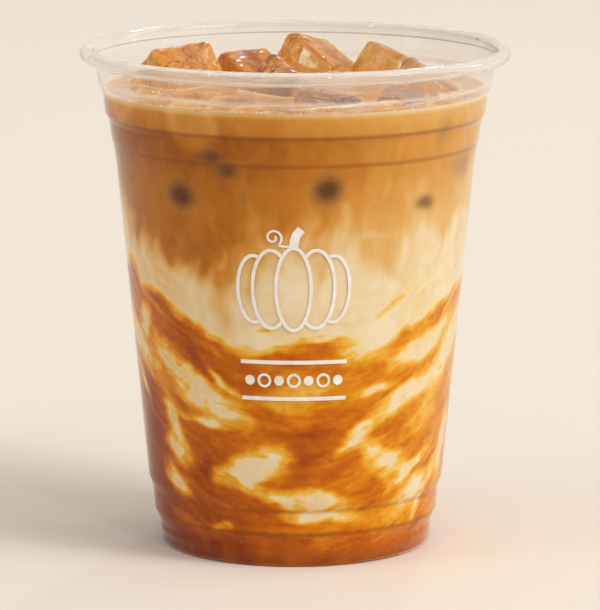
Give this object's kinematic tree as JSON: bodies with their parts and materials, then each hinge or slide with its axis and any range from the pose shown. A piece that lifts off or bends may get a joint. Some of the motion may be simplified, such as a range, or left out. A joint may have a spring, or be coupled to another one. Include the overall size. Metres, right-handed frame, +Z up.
{
  "type": "iced pumpkin spice latte",
  "caption": "Clear tapered plastic cup with a rolled rim, filled with an iced pumpkin spice latte in layers of sauce, milk and coffee, with blocks of ice standing out of it.",
  "frame": {"origin": "middle of the ring that the cup stands on", "axes": "+Z up through the mouth of the cup; the front is the -Y side"},
  "size_m": [0.098, 0.098, 0.1145],
  "materials": {
    "clear_plastic": "clear, glossy",
    "sauce": "opaque, wet, marbled",
    "milk": "opaque, wet, creamy",
    "coffee": "opaque, wet",
    "ice": "clear, wet, melted smooth"
  },
  "bodies": {
    "root": {"cup": "clear_plastic", "pumpkin_sauce": "sauce", "milk_layer": "milk", "coffee_layer": "coffee", "ice_block_1": "ice", "ice_block_2": "ice", "ice_block_3": "ice", "ice_block_4": "ice", "ice_block_5": "ice", "ice_block_6": "ice", "ice_block_7": "ice", "ice_block_8": "ice"}
  },
  "joints": []
}
